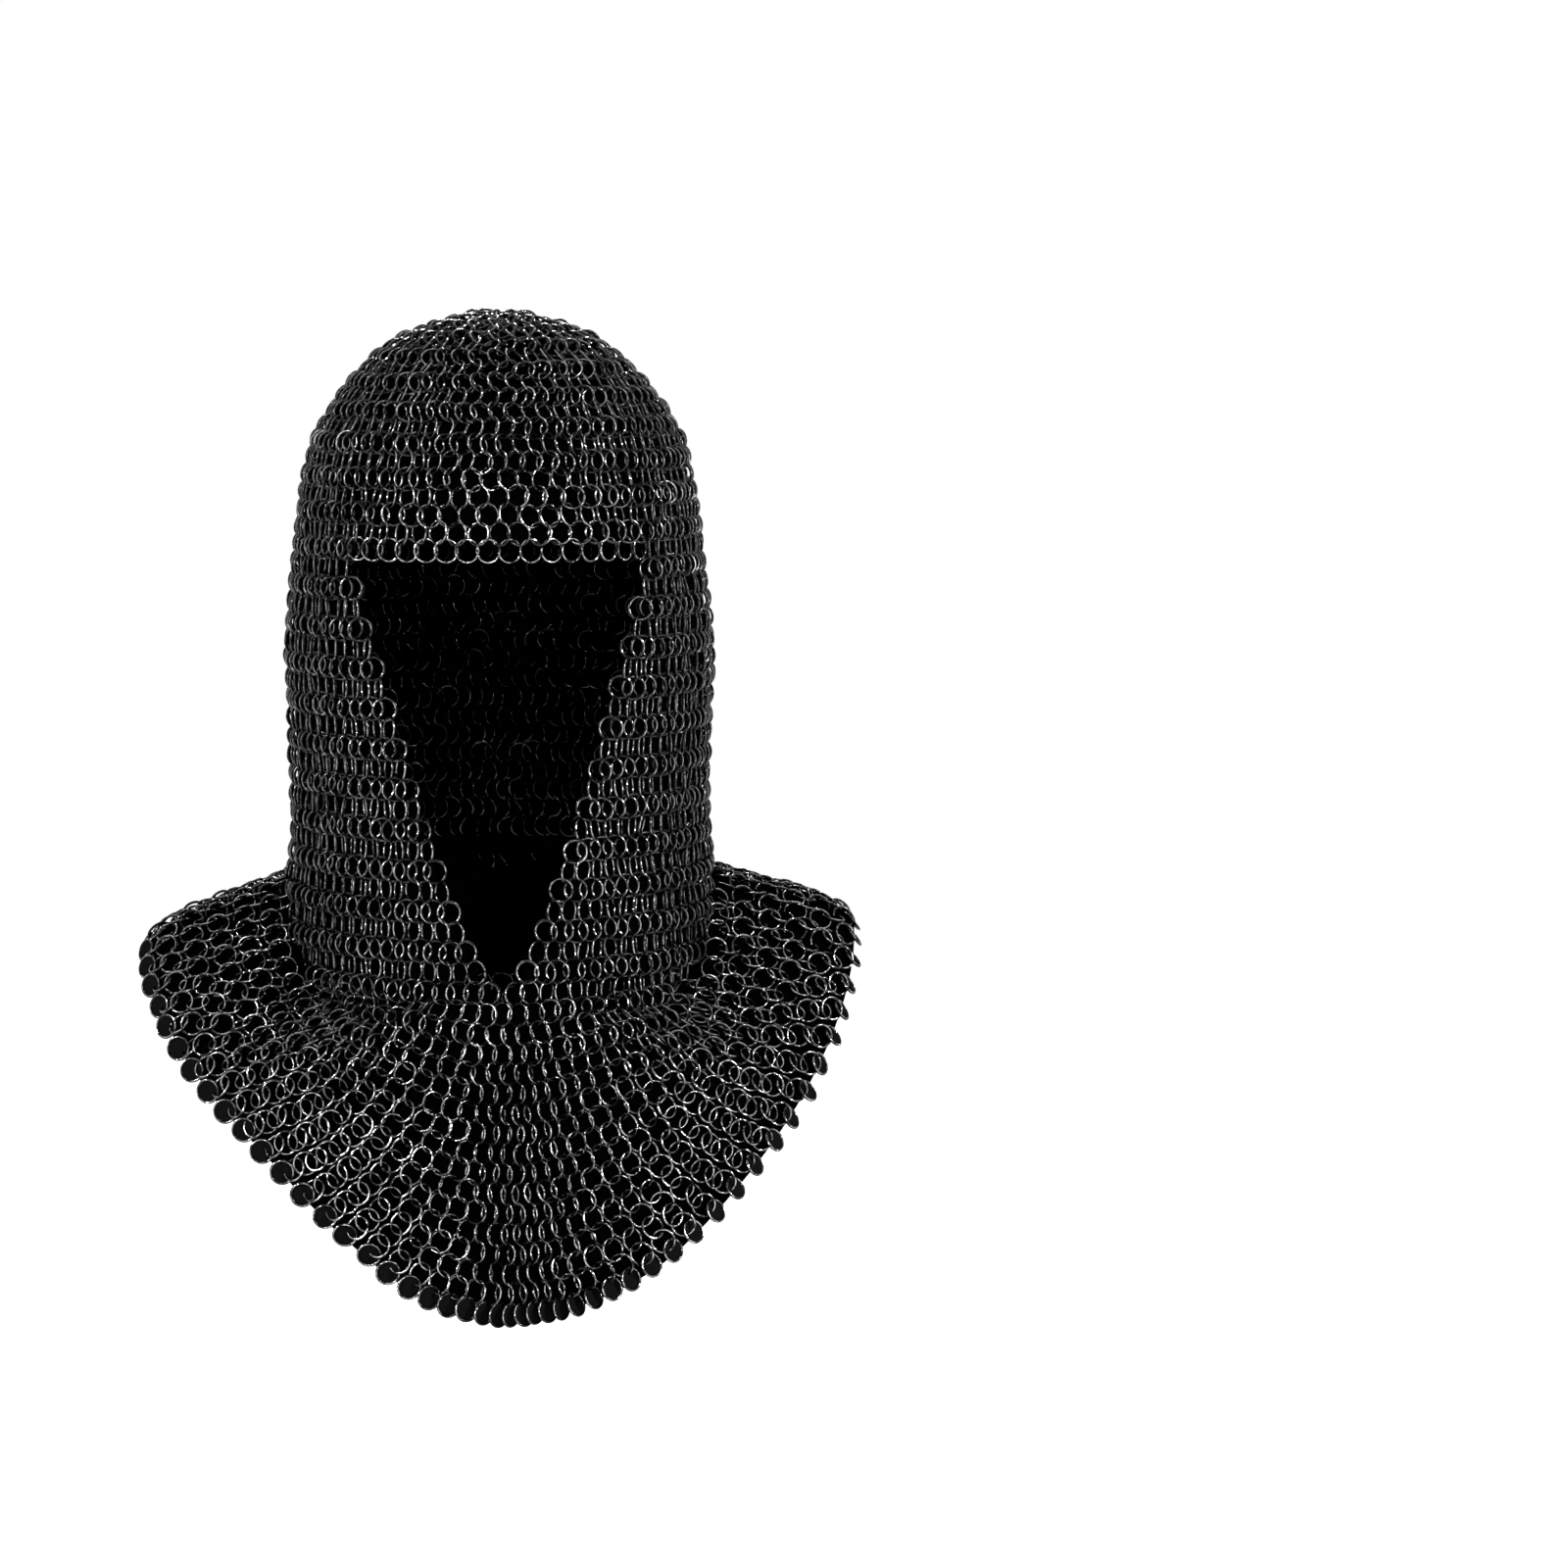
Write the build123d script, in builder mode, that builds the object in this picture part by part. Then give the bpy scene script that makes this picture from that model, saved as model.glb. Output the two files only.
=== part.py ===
import os
from math import acos, cos, floor, pi, radians, sin, sqrt

from build123d import *

# Mail coif: a hood of linked steel rings with a V-shaped face opening and a short
# mantle over the shoulders. The origin is where the crown rests on the head, +Z is
# up and the face looks towards -Y. Left and right are the wearer's, so left is +X.
# The woven mail is modelled as closed panels, one for each zone of the coif, as
# thick as the weave. The links along its free edges are real, linked rings.

# The ring: its clear bore and its wire
ring_bore = 10.0
wire = 1.4

# The woven mail: its thickness, and the slack left between two linked rings
mail_thickness = 4.2
link_slack = 0.9

# The hood: heights are drops below the top of the crown
hood_half_width = 107.5
hood_front_depth = 111.0
hood_back_depth = 122.0
hood_drop = 265.0
crown_hole_radius = 15.6

# The line where the hood meets the mantle
neck_half_width = 109.0
neck_front_depth = 117.0
neck_back_depth = 104.0
neck_side_drop = 286.0
neck_front_extra_drop = 58.0

# The mantle
hem_half_width = 182.0
hem_front_depth = 154.0
hem_back_depth = 140.0
hem_side_drop = 331.0
hem_front_extra_drop = 153.0
hem_back_extra_drop = 92.0

# The face opening, to the edge of its rings
opening_half_width = 70.0
opening_top_drop = 123.0
opening_bottom_drop = 332.0

# Links at the free edges: distance along the edge, lean, how far the free row hangs
# beyond the row that carries it, how far that row's middle stands off the panel, and
# the room left at the opening's upper corners and at its point
edge_pitch = 10.4
edge_lean = 32.0
edge_row_step = 5.5
loop_stand = 3.0
corner_room = 22.0
point_room = 6.0
hem_pitch = 11.6
hem_lean = 18.0
crown_lean = 35.0
loop_seat = 1.2

# Shape of the hood, as shares of its drop, half width, front depth and back depth
hood_shares = [
    (0.004, 0.0, 0.0, 0.0),
    (0.030, 0.36, 0.38, 0.38),
    (0.075, 0.57, 0.60, 0.60),
    (0.145, 0.735, 0.76, 0.77),
    (0.230, 0.85, 0.88, 0.90),
    (0.335, 0.92, 0.955, 0.985),
    (0.460, 0.96, 1.00, 1.00),
    (0.600, 1.00, 1.00, 0.955),
    (0.720, 1.00, 0.985, 0.885),
    (0.860, 0.985, 0.99, 0.84),
    (1.000, 0.985, 1.01, 0.83),
]

# Every quarter turn has these facets, and the tables below follow them from the
# front round to the back: the neck's extra drop, then the hem's on each side
facets_per_quarter = 6
neck_drop_shares = [0.79, 0.84, 0.93, 1.0, 0.86, 0.41, 0.07, 0.0, -0.03, -0.05, -0.05, -0.05, -0.05]
hem_drop_left_shares = [1.0, 0.94, 0.80, 0.595, 0.385, 0.15]
hem_drop_right_shares = [1.0, 0.915, 0.71, 0.48, 0.295, 0.12]
hem_drop_rear_shares = [0.0, 0.05, 0.30, 0.57, 0.80, 0.94, 1.0]

# Rings of facets across the mantle, as shares of its way out, and how much the
# chest and the shoulders hold the mantle up before it falls
mantle_way_shares = [0.25, 0.5, 0.75, 1.0]
chest_hold_share = 0.12
shoulder_hold_share = 1.1

# Worked out from the sizes above
link_radius = (ring_bore + wire) / 2
wire_side = wire * sqrt(pi) / 2
link_sides = 8
same_area_share = sqrt(2 * pi / (link_sides * sin(2 * pi / link_sides)))
link_outer = (link_radius + wire / 2) * same_area_share
link_inner = (link_radius - wire / 2) * same_area_share
facet_turn = 90 / facets_per_quarter
facets = 4 * facets_per_quarter
edge_reach = loop_stand + edge_row_step + link_radius + wire / 2
neck_level = len(hood_shares)
hem_level = neck_level + len(mantle_way_shares)
brow_level = 6
dome_level = 4
halvings = 30


def folded(facet):
    """The facet's number counted from the front, and whether it is on the right."""
    facet = facet % facets
    if facet > facets / 2:
        return facets - facet, True
    return facet, False


def oval(turn, half_width, front_depth, back_depth):
    """Radius of an oval at a polar angle that starts at the front."""
    depth = front_depth if cos(radians(turn)) > 0 else back_depth
    across = sin(radians(turn)) / half_width
    along = cos(radians(turn)) / depth
    return 1 / sqrt(across * across + along * along)


def hem_drop(facet):
    """How far the hem lies below the crown at a facet's edge."""
    number, on_right = folded(facet)
    if number >= facets_per_quarter:
        share = hem_drop_rear_shares[number - facets_per_quarter]
        return hem_side_drop + hem_back_extra_drop * share
    table = hem_drop_right_shares if on_right else hem_drop_left_shares
    return hem_side_drop + hem_front_extra_drop * table[number]


def outer_points(facet):
    """Radius and height of the mail's outside at a facet's edge, crown to hem."""
    turn = facet * facet_turn
    points = []
    for drop, width, front, back in hood_shares:
        if width == 0:
            radius = crown_hole_radius
        else:
            radius = oval(
                turn,
                hood_half_width * width,
                hood_front_depth * front,
                hood_back_depth * back,
            )
        points.append((radius, mail_thickness - hood_drop * drop))
    neck_radius = oval(turn, neck_half_width, neck_front_depth, neck_back_depth)
    neck_drop = neck_side_drop + neck_front_extra_drop * neck_drop_shares[folded(facet)[0]]
    hem_radius = oval(turn, hem_half_width, hem_front_depth, hem_back_depth)
    fall = 1 + chest_hold_share + shoulder_hold_share * sin(radians(turn)) ** 2
    points.append((neck_radius, mail_thickness - neck_drop))
    for way in mantle_way_shares:
        radius = neck_radius + (hem_radius - neck_radius) * way
        drop = neck_drop + (hem_drop(facet) - neck_drop) * way**fall
        points.append((radius, mail_thickness - drop))
    return points


def set_in(points, depth):
    """The same line moved inwards by a depth."""
    moved = []
    for i in range(len(points)):
        before = points[max(i - 1, 0)]
        after = points[min(i + 1, len(points) - 1)]
        here = points[i]
        first = Vector(here[0] - before[0], here[1] - before[1], 0)
        last = Vector(after[0] - here[0], after[1] - here[1], 0)
        if i == 0:
            first = last
        if i == len(points) - 1:
            last = first
        along = (first.normalized() + last.normalized()).normalized()
        reach = depth / along.dot(last.normalized())
        moved.append((here[0] + along.Y * reach, here[1] - along.X * reach))
    return moved


outside = [outer_points(facet) for facet in range(facets)]
middle = [set_in(points, mail_thickness / 2) for points in outside]
inside = [set_in(points, mail_thickness) for points in outside]


def meridian_plane(facet):
    """The upright plane through the axis at a facet's edge."""
    turn = radians(facet * facet_turn)
    return Plane(
        origin=(0, 0, 0),
        x_dir=(sin(turn), -cos(turn), 0),
        z_dir=(-cos(turn), -sin(turn), 0),
    )


def draw_panel(first_facet, last_facet, top_level, bottom_level):
    """Adds the mail between two facet edges and two levels to the open part."""
    sections = []
    for facet in range(first_facet, last_facet + 1):
        outer = outside[facet % facets][top_level : bottom_level + 1]
        inner = inside[facet % facets][top_level : bottom_level + 1]
        with BuildSketch(meridian_plane(facet)) as section:
            with BuildLine():
                Polyline(*outer, *reversed(inner), close=True)
            make_face()
        sections.append(section.sketch)
    loft(sections, ruled=True)


def link_outline(place, stand=None):
    """The flat outline of one ring, lying in a plane. A ring that stands off a panel
    is drawn only as far as it is free of it, and a little deeper, to seat it."""
    with BuildSketch(place) as ring:
        RegularPolygon(radius=link_outer, side_count=link_sides)
        RegularPolygon(radius=link_inner, side_count=link_sides, mode=Mode.SUBTRACT)
        if stand is not None:
            with Locations((-link_outer - stand - loop_seat, 0)):
                Rectangle(2 * link_outer, 2 * link_outer, mode=Mode.SUBTRACT)
    return ring.sketch.face()


def draw_rings(outlines):
    """Gives ring outlines the thickness of the wire and adds them to the open part."""
    extrude(outlines, amount=wire_side / 2, both=True)


def link_plane(centre, free, outward, lean):
    """The plane of a ring that hangs towards free and leans about that line."""
    along = free.cross(outward)
    facing = outward * cos(radians(lean)) - along * sin(radians(lean))
    return Plane(origin=centre, x_dir=free, z_dir=facing)


def polar_point(facet, radius, height):
    """A point in space from a facet's edge, a radius and a height."""
    turn = radians(facet * facet_turn)
    return Vector(radius * sin(turn), -radius * cos(turn), height)


def at_height(points, height):
    """Radius of a line of (radius, height) points where it crosses a height."""
    for high, low in zip(points, points[1:]):
        if high[1] >= height >= low[1]:
            share = (high[1] - height) / (high[1] - low[1])
            return high[0] + (low[0] - high[0]) * share
    return points[-1][0]


def front_point(across, height):
    """The point of the mail's middle on the front half, at a distance from the plane
    of symmetry and a height. It follows the round of the hood, not its facets."""
    side = -1 if across < 0 else 1
    radii = []
    for number in range(facets_per_quarter + 1):
        radii.append(at_height(middle[side * number % facets], height))
    low = 0
    high = facets_per_quarter
    for step in range(halvings):
        number = (low + high) / 2
        whole = min(floor(number), facets_per_quarter - 1)
        radius = radii[whole] + (radii[whole + 1] - radii[whole]) * (number - whole)
        point = polar_point(side * number, radius, height)
        if abs(point.X) < abs(across):
            low = number
        else:
            high = number
    return point


def spread(points, pitch, start, end):
    """Even places along a line, leaving its start and end free."""
    lengths = [0]
    for first, last in zip(points, points[1:]):
        lengths.append(lengths[-1] + (last - first).length)
    room = lengths[-1] - start - end
    count = floor(room / pitch) + 1
    start = start + (room - (count - 1) * pitch) / 2
    places = []
    for i in range(count):
        goal = start + i * pitch
        k = 0
        while k < len(points) - 2 and lengths[k + 1] < goal:
            k += 1
        along = (points[k + 1] - points[k]).normalized()
        places.append(points[k] + along * (goal - lengths[k]))
    return places


def lines_through(places):
    """The line's direction at each of its places."""
    directions = []
    for i in range(len(places)):
        before = places[max(i - 1, 0)]
        after = places[min(i + 1, len(places) - 1)]
        directions.append((after - before).normalized())
    return directions


# The opening cut in the panels stands back from the opening by the two rows of
# rings that border it
slope = acos(
    opening_half_width
    / sqrt(opening_half_width**2 + (opening_bottom_drop - opening_top_drop) ** 2)
)
cut_top = mail_thickness - opening_top_drop + edge_reach
cut_bottom = mail_thickness - opening_bottom_drop
cut_half_width = opening_half_width + edge_reach / sin(slope)
cut_low_half_width = edge_reach / sin(slope)
opening_cut_depth = hood_front_depth + hem_front_depth


def cut_opening():
    """Cuts the face opening through the front of the open part."""
    with BuildSketch(Plane.XZ) as opening:
        with BuildLine():
            Polyline(
                (-cut_half_width, cut_top),
                (cut_half_width, cut_top),
                (cut_low_half_width, cut_bottom),
                (-cut_low_half_width, cut_bottom),
                close=True,
            )
        make_face()
    extrude(opening.sketch, amount=opening_cut_depth, mode=Mode.SUBTRACT)


# Points along the two kinds of edge of that cut, drawn finely enough for the facets
edge_samples = 60
brow_line = []
left_cheek_line = []
right_cheek_line = []
for i in range(edge_samples + 1):
    share = i / edge_samples
    brow_line.append(front_point(cut_half_width * (2 * share - 1), cut_top))
    across = cut_half_width + (cut_low_half_width - cut_half_width) * share
    height = cut_top + (cut_bottom - cut_top) * share
    left_cheek_line.append(front_point(across, height))
    right_cheek_line.append(front_point(-across, height))

brow_places = spread(brow_line, edge_pitch, corner_room, corner_room)
left_cheek_places = spread(left_cheek_line, edge_pitch, corner_room, point_room)
right_cheek_places = spread(right_cheek_line, edge_pitch, corner_room, point_room)


def hood_outward(point):
    """The level direction straight out of the hood at a point of its front half."""
    return Vector(point.X / hood_half_width**2, point.Y / hood_front_depth**2, 0).normalized()


def edge_plane(point, along, inwards, stand, lean):
    """The plane of a ring whose middle stands off a cut edge, into the opening."""
    free = along.cross(hood_outward(point)).normalized()
    if free.dot(inwards) < 0:
        free = free * -1
    outward = along.cross(free).normalized()
    if outward.Y > 0:
        outward = outward * -1
    return link_plane(point + free * stand, free, outward, lean)


def loop_outlines(places, inwards):
    """The loops that carry the free row along an edge of the opening."""
    outlines = []
    for point, along in zip(places, lines_through(places)):
        place = edge_plane(point, along, inwards, loop_stand, edge_lean)
        outlines.append(link_outline(place, loop_stand))
    return outlines


def free_ring_outlines(places, inwards):
    """The free rings, each one linked through two loops."""
    middles = [(first + last) * 0.5 for first, last in zip(places, places[1:])]
    stand = loop_stand + edge_row_step
    outlines = []
    for point, along in zip(middles, lines_through(middles)):
        place = edge_plane(point, along, inwards, stand, -edge_lean)
        outlines.append(link_outline(place))
    return outlines


def draw_hem_loops(first_facet, last_facet):
    """Adds the hem's row of rings, all leaning one way."""
    hem_line = []
    rise_line = []
    for facet in range(first_facet, last_facet + 1):
        points = middle[facet % facets]
        hem_line.append(polar_point(facet, *points[hem_level]))
        rise_line.append(polar_point(facet, *points[hem_level - 1]))
    falling = (hem_line[0] + hem_line[-1] - rise_line[0] - rise_line[-1]).normalized()
    places = spread(hem_line, hem_pitch, link_outer, link_outer)
    outlines = []
    for point, along in zip(places, lines_through(places)):
        outward = falling.cross(along).normalized()
        if outward.Z < 0:
            outward = outward * -1
        free = outward.cross(along).normalized()
        if free.dot(falling) < 0:
            free = free * -1
        outlines.append(link_outline(link_plane(point, free, outward, hem_lean), 0))
    draw_rings(outlines)


def save(piece, name):
    """Labels a piece and writes it."""
    piece.part.label = name
    export_step(piece.part, f"parts/{name}.step")


os.makedirs("parts", exist_ok=True)

# Crown: the ring that the hood is started from, lying flat
with BuildPart() as crown_ring:
    draw_rings([link_outline(Plane(origin=(0, 0, mail_thickness / 2)))])
save(crown_ring, "crown_ring")

# Dome: four quarters, each with its share of the six rings linked through the
# crown ring, fused to the quarter that carries them
crown_row_radius = 2 * link_radius - wire - link_slack
dome_quarters = {
    "dome_front_mail": (-3, 3, [0]),
    "dome_left_mail": (3, 9, [60, 120]),
    "dome_back_mail": (9, 15, [180]),
    "dome_right_mail": (15, 21, [240, 300]),
}
for name, (first_facet, last_facet, ring_turns) in dome_quarters.items():
    with BuildPart() as dome:
        draw_panel(first_facet, last_facet, 0, dome_level)
        outlines = []
        for turn in ring_turns:
            free = Vector(sin(radians(turn)), -cos(radians(turn)), 0)
            centre = free * crown_row_radius + Vector(0, 0, mail_thickness / 2)
            place = link_plane(centre, free, Vector(0, 0, 1), crown_lean)
            outlines.append(link_outline(place))
        draw_rings(outlines)
    save(dome, name)

# Brow band: its lower edge carries the free row over the face
down = Vector(0, 0, -1)
with BuildPart() as brow_mail:
    draw_panel(-4, 4, dome_level, brow_level)
    cut_opening()
    draw_rings(loop_outlines(brow_places, down))
save(brow_mail, "brow_mail")

for number, outline in enumerate(free_ring_outlines(brow_places, down), start=1):
    with BuildPart() as brow_ring:
        draw_rings([outline])
    save(brow_ring, f"brow_ring_{number:02d}")

# Temples and the back of the head
head_panels = {
    "left_temple_mail": (4, 9),
    "right_temple_mail": (15, 20),
    "back_of_head_left_mail": (9, 12),
    "back_of_head_right_mail": (12, 15),
}
for name, (first_facet, last_facet) in head_panels.items():
    with BuildPart() as head_panel:
        draw_panel(first_facet, last_facet, dome_level, brow_level)
    save(head_panel, name)

# Cheeks: each is cut by the opening and carries a column of free rings
cheeks = {
    "left_cheek": (0, 4, left_cheek_places, Vector(-1, 0, 0)),
    "right_cheek": (-4, 0, right_cheek_places, Vector(1, 0, 0)),
}
for name, (first_facet, last_facet, places, inwards) in cheeks.items():
    with BuildPart() as cheek:
        draw_panel(first_facet, last_facet, brow_level, neck_level)
        cut_opening()
        draw_rings(loop_outlines(places, inwards))
    save(cheek, f"{name}_mail")
    with BuildPart() as cheek_rings:
        draw_rings(free_ring_outlines(places, inwards))
    save(cheek_rings, f"{name}_edge_rings")

# Sides of the hood and the nape
hood_panels = {
    "left_side_mail": (4, 8),
    "right_side_mail": (16, 20),
    "nape_left_mail": (8, 12),
    "nape_right_mail": (12, 16),
}
for name, (first_facet, last_facet) in hood_panels.items():
    with BuildPart() as hood_panel:
        draw_panel(first_facet, last_facet, brow_level, neck_level)
    save(hood_panel, name)

# Mantle: eight panels, each with its own run of hem rings
mantle_panels = {
    "bib_left_mail": (0, 3),
    "front_shoulder_left_mail": (3, 6),
    "rear_shoulder_left_mail": (6, 9),
    "mantle_back_left_mail": (9, 12),
    "mantle_back_right_mail": (12, 15),
    "rear_shoulder_right_mail": (15, 18),
    "front_shoulder_right_mail": (18, 21),
    "bib_right_mail": (21, 24),
}
for name, (first_facet, last_facet) in mantle_panels.items():
    with BuildPart() as mantle_panel:
        draw_panel(first_facet, last_facet, neck_level, hem_level)
        draw_hem_loops(first_facet, last_facet)
    save(mantle_panel, name)
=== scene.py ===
import math

import bpy
import numpy as np
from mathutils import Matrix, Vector


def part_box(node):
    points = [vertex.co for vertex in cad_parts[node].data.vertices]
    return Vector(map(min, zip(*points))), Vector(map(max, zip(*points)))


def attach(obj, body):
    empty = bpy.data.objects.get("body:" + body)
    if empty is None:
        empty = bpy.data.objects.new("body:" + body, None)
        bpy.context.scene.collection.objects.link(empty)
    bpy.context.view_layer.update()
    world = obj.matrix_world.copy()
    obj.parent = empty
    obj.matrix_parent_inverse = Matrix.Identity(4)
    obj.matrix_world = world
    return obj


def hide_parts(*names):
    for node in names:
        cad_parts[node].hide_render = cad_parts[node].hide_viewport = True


# A mail coif, linked ring by ring. Sizes are in millimetres and angles in degrees until
# the meshes are made. A turn is the angle round the head from the front, towards +X,
# the wearer's left. Rings stand in rows round the head, and the rings of a row all lean
# one way, the next row's the other way.

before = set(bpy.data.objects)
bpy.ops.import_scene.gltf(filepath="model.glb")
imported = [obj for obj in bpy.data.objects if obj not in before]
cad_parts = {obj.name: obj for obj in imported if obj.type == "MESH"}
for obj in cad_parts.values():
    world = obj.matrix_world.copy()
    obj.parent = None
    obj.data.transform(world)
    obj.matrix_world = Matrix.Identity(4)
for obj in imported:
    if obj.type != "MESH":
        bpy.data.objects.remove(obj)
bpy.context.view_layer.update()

MM = 0.001

# The ring: its middle radius, its wire, and the gap and step where its ends meet
RING_RADIUS = 5.7
WIRE = 1.4
JOINT_GAP = 0.16
JOINT_STEP = 0.12
JOINT_POWER = 9
RING_STATIONS = 21
WIRE_SIDES = 8

# The hood and the neck line, as the frame has them: the mail's outside
MAIL_THICKNESS = 4.2
HOOD_HALF_WIDTH = 107.5
HOOD_FRONT_DEPTH = 111.0
HOOD_BACK_DEPTH = 122.0
HOOD_DROP = 265.0
NECK_HALF_WIDTH = 109.0
NECK_FRONT_DEPTH = 117.0
NECK_BACK_DEPTH = 104.0
NECK_SIDE_DROP = 286.0
NECK_FRONT_EXTRA_DROP = 58.0

# The hem, close to the frame's
HEM_HALF_WIDTH = 183.5
HEM_FRONT_DEPTH = 154.0
HEM_BACK_DEPTH = 140.0
HEM_SIDE_DROP = 331.0
HEM_FRONT_EXTRA_DROP = 153.0
HEM_BACK_EXTRA_DROP = 92.0

# The face opening, how fast it narrows downwards, and the two rings that close it: their
# drop and how far each stands from the middle
OPENING_HALF_WIDTH = 70.0
OPENING_TOP_DROP = 123.0
OPENING_BOTTOM_DROP = 332.0
OPENING_CURVE = 0.75
POINT_ROW_DROP = 332.5
POINT_RING_OUT = 6.0
POINT_TURN = 20

# Shape of the hood from its pole down, as shares of its drop, half width and depths. The
# top lies a little inside the frame's.
HOOD_SHARES = [
    (0.0, 0.0, 0.0, 0.0),
    (0.030, 0.345, 0.37, 0.37),
    (0.075, 0.55, 0.585, 0.585),
    (0.145, 0.715, 0.75, 0.76),
    (0.230, 0.85, 0.88, 0.90),
    (0.335, 0.92, 0.955, 0.985),
    (0.460, 0.96, 1.00, 1.00),
    (0.600, 1.00, 1.00, 0.955),
    (0.720, 1.00, 0.985, 0.885),
    (0.860, 0.985, 0.99, 0.84),
    (1.000, 0.985, 1.01, 0.83),
]

# Drops of the neck line and the hem from the front round to the back, every 15 degrees
FACET_TURN = 15
NECK_SHARES = [0.79, 0.84, 0.93, 1.0, 0.86, 0.41, 0.07, 0.0, -0.03, -0.05, -0.05, -0.05, -0.05]
HEM_LEFT_SHARES = [1.0, 0.965, 0.85, 0.65, 0.435, 0.20]
HEM_RIGHT_SHARES = [1.0, 0.935, 0.745, 0.515, 0.33, 0.15]
HEM_REAR_SHARES = [0.0, 0.05, 0.30, 0.57, 0.80, 0.94, 1.0]

# How the mantle falls: the chest holds it up a little, and the shoulders run nearly
# straight before they drop
CHEST_HOLD = 0.12
SHOULDER_SLOPE = 0.81
SHOULDER_POWER = 9.3
# How far each shoulder stands higher than that: its turn, width and rise
SHOULDER_LIFTS = [(-83.0, 22.0, 10.5), (100.0, 44.0, 17.0)]
# How far a whole way above the neck line would reach up the neck
NECK_RUN = 100.0

# Rows of rings, counted down from the crown ring
CROWN_ROWS = 14
BROW_ROW = 20
CHEEK_ROWS = 22
MANTLE_ROWS = 16
CROWN_SIDES = 6
DOME_RINGS = 84
NECK_RINGS = 90
BROW_CORNER_HALVES = 16
BROW_CORNER_TURN = 43.0
MANTLE_ROW_LEAST = 7.0
LEVEL_STEP = 10.0
# Half ring widths from the back to the opening's edge, in the row over the first cheek row
EDGE_HALVES = 67
# Room that rows leave at the neck line: the hood's, the mantle's top row, its other rows
HOOD_ROW_ROOM = 1.0
NECK_ROOM = 0.7
MANTLE_ROW_ROOM = 2.5

# How the mantle's rings crowd together in front: by how much in which rows, over what
# width and about what turn
CROWD_ROWS = [0, 10, 13, 16]
CROWDS = [0.54, 0.44, 0.27, 0.0]
CROWD_WIDTH = 20.0
CROWD_TURN = 8.0

# How far rings lean at a pitch along their row: crowded ones lean more
LEAN_PITCHES = [5.5, 8.0, 13.5]
LEANS = [44.0, 33.0, 19.0]
BROW_LEAN = 14.0

# How unevenly the rings hang, in degrees and millimetres, and how much more so behind
LEAN_PLAY = 4.5
TILT_PLAY = 4.0
PLACE_PLAY = 0.3
REAR_LOOSE = 3.3
LOOSE_TURNS = [80, 130]

# The frame's zones: the levels that end the dome and the brow band, and the turns where
# the front, the sides and the back of each band meet
DOME_END_LEVEL = 4.0
BROW_END_LEVEL = 6.0
DOME_TURNS = (45, 135)
BROW_TURNS = (60, 135)
CHEEK_TURNS = (60, 120)
MANTLE_TURN = 45

# How finely shapes are sampled
SMALL_WAY = 0.002
SMALL_TURN = 0.1
ROW_STEP_TURN = 0.5
LEVEL_SAMPLES = 1200
GRID_TURN = 3.0
TOP_WAY = -0.2
WAY_SAMPLES = 145
EDGE_TURN_GUESS = 5.0
EDGE_TURN_ROUNDS = 8
SAME_TURN = 0.01

# The wire's material: the oxide and the bright steel, how far out of the mail the wire looks
# where it is rubbed and gets a painted highlight, how much of that wears through in patches,
# and its surface
OXIDE_DARK = (0.008, 0.008, 0.0085, 1)
OXIDE_PALE = (0.032, 0.032, 0.033, 1)
# Bright steel: wear, and a painted highlight where the wire faces out of the mail
BARE_STEEL_AND_HIGHLIGHT = (0.56, 0.56, 0.56, 1)
WORN_HIGHLIGHT_START = 0.82
WORN_HIGHLIGHT_END = 0.96
PATCH_START = 0.40
PATCH_END = 0.56
MAIL_BARE_HIGHLIGHT_SHARE = 0.95
RING_BARE_HIGHLIGHT_SHARE = 1.0
BLOTCH_SCALE = 420.0
GRAIN_SCALE = 2600.0
ROUGHNESS_LEAST = 0.08
ROUGHNESS_MOST = 0.18
BUMP_STRENGTH = 0.06
BUMP_DISTANCE = 0.0001

# The studio, in metres and watts. The floor is white to the camera and in reflections.
FLOOR_DROP = 0.66
FLOOR_REACH = 3.0
FLOOR_GREY = 0.55
FLOOR_GLOW = 0.88
LAMP_AIM = (0, 0, -0.24)
# Name, place, width, height and power of each lamp
LAMPS = [
    ("left_softbox", (-1.5, -1.0, 0.45), 0.15, 0.25, 34),
    ("right_softbox", (1.5, -0.95, 0.45), 0.15, 0.25, 44),
    ("top_softbox", (0.1, -0.8, 1.35), 0.15, 0.15, 14),
    ("front_left_spot", (-0.45, -2.05, 0.05), 0.12, 0.12, 9),
    ("front_right_spot", (0.45, -2.05, 0.12), 0.12, 0.12, 9),
    ("rear_softbox", (0, 1.7, 0.8), 0.3, 0.25, 22),
]
# The room: where its light begins and ends towards the back, its strength and its colour
ROOM_START = -0.1
ROOM_END = 0.7
ROOM_STRENGTH = 0.30
ROOM_COLOUR = (0.97, 0.98, 1.0, 1)

# The painted shade: a black sheet inside the mail standing in for the shade there, and dark
# discs in the hem rings. How far the sheet keeps from the rings in front and beside the
# opening, how far below the hood it goes, the turns between which it moves in among the
# rings, how many points it has, and the colours of the sheet and the discs
SHADE_SHEET_ROOM = 3.6
OPENING_ROOM = 6.0
SHADE_SHEET_EXTRA_LEVELS = 9.0
SHADE_SHEET_CLOSE_TURN = 60
SHADE_SHEET_CLOSE_WIDTH = 30
SHADE_SHEET_POLE_LEVEL = 0.02
SHADE_SHEET_HOOD_ROWS = 90
SHADE_SHEET_HEM_WAY = 1.01
SHADE_SHEET_MANTLE_ROWS = 40
DISC_SIDES = 24
SHADE_SHEET_BLACK = 0.0005
HEM_SHADE_GREY = 0.0040

# The camera: 0.505 mm a pixel at the middle of the coif, which stands left of centre
CAMERA_DISTANCE = 2.2
CAMERA_RISE = 6.0
PIXEL = 0.505
PHOTO_WIDTH = 1600
AIM = Vector((0.146, 0, -0.2385))
SENSOR = 36.0

rng = np.random.default_rng(31)


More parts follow.
